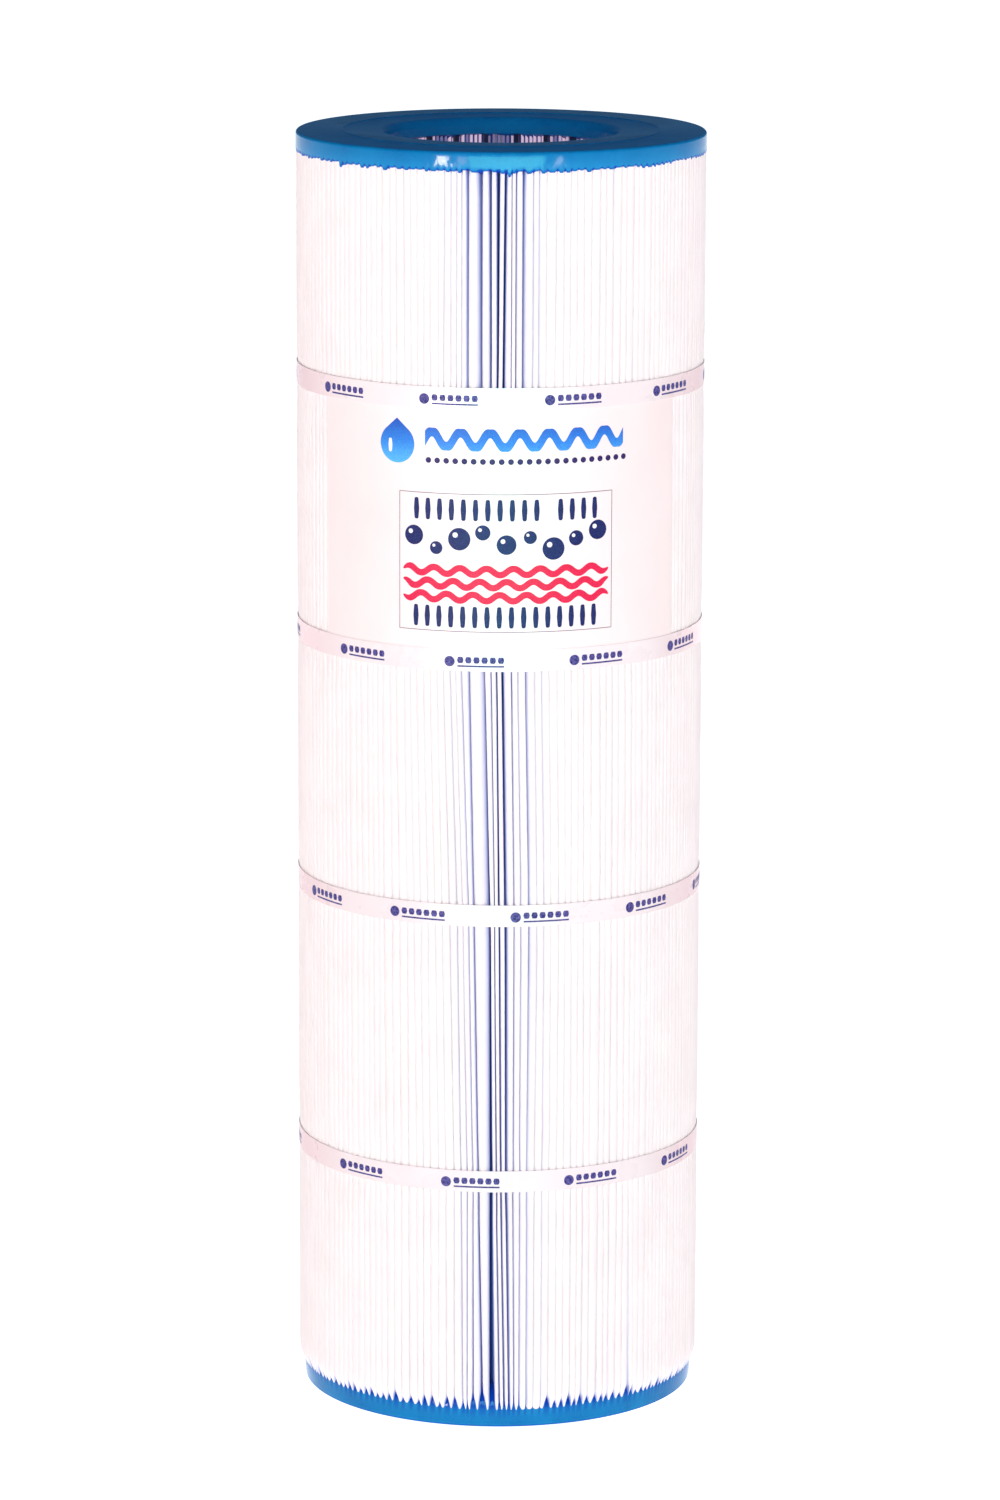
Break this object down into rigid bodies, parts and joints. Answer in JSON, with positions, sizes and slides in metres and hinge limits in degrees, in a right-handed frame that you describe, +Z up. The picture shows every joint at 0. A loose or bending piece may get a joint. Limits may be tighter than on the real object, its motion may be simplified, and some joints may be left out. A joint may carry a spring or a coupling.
{
  "type": "filter cartridge",
  "caption": "Tall round filter cartridge: a folded white fabric pack round a slotted core, between two blue end caps with a through bore.",
  "frame": {"origin": "centre of the bottom cap's outer face, on the cartridge's axis", "axes": "+Z up the cartridge's axis towards the top cap, -Y through the middle of the label"},
  "size_m": [0.227, 0.227, 0.7128],
  "materials": {
    "cap": "satin moulded polyurethane",
    "core": "matt moulded plastic",
    "media": "point-bonded polyester nonwoven",
    "label": "smooth coated sheet",
    "band": "glossy printed film"
  },
  "bodies": {
    "root": {"top_end_cap": "cap", "bottom_end_cap": "cap", "core": "core", "pleated_media": "media", "label": "label", "band_1": "band", "band_2": "band", "band_3": "band", "band_4": "band"}
  },
  "joints": []
}
